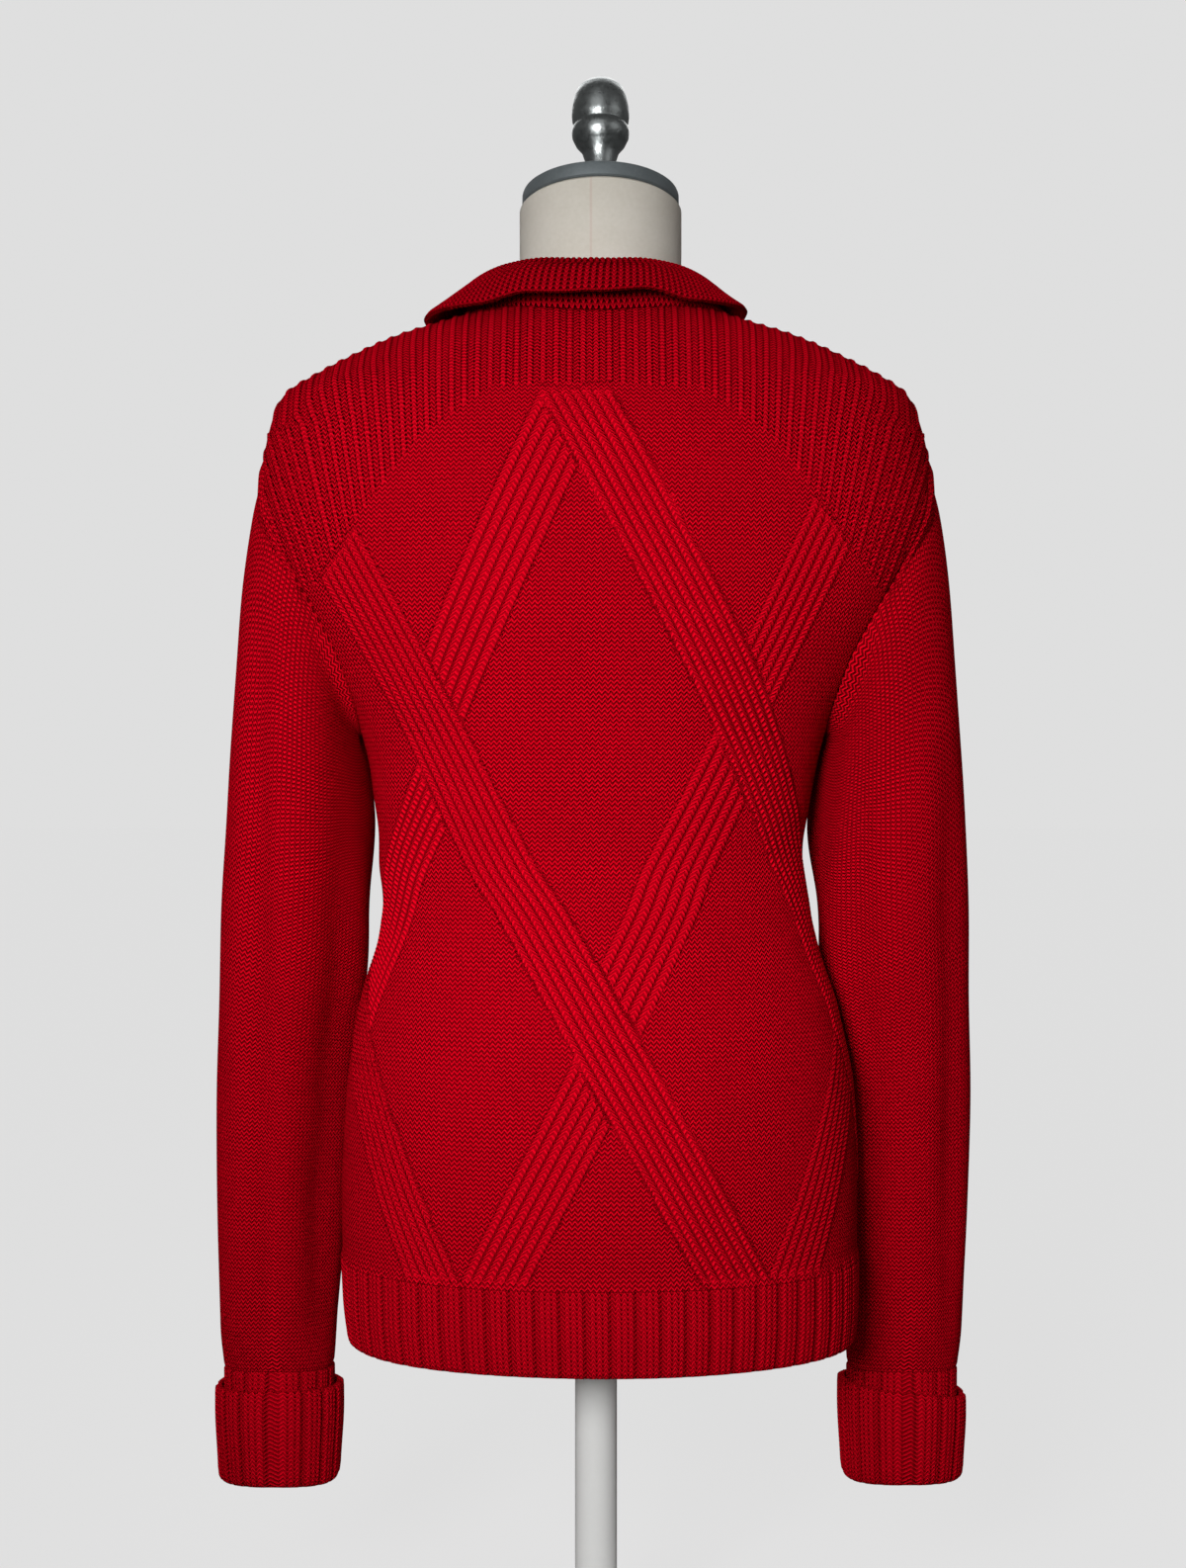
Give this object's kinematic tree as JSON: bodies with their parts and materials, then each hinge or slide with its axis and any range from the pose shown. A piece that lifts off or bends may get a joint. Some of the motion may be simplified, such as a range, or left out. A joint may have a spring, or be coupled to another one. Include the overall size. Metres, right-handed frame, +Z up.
{
  "type": "knit polo sweater on a limbless dress form with a round stand",
  "caption": "Long-sleeved polo sweater with a lattice of raised ribs on its back, ribbed yoke, collar, hem and turned-up cuffs, on a limbless dress form with a metal neck cap and a round stand.",
  "frame": {"origin": "the middle of the underside of the stand's base, on the floor", "axes": "+Z up, +X towards the wearer's right, -Y the way the sweater's back faces (the side in the picture), +Y the chest"},
  "size_m": [0.4623, 0.28, 0.9519],
  "materials": {
    "wool": "matte deep red wool knit",
    "button": "semi-gloss dark red",
    "linen": "matte cream linen",
    "cast_metal": "rough grey casting",
    "turned_metal": "satin turned",
    "pole": "pale grey satin paint",
    "base": "pale grey satin paint"
  },
  "bodies": {
    "root": {"back_panel": "wool", "front_panel": "wool", "hem_rib_back": "wool", "hem_rib_front": "wool", "sleeve_left": "wool", "sleeve_right": "wool", "cuff_left": "wool", "cuff_right": "wool", "collar": "wool", "placket": "wool", "button_1": "button", "button_2": "button", "button_3": "button", "form_body": "linen", "neck_cap": "cast_metal", "finial": "turned_metal", "stand_pole": "pole", "stand_base": "base"}
  },
  "joints": []
}
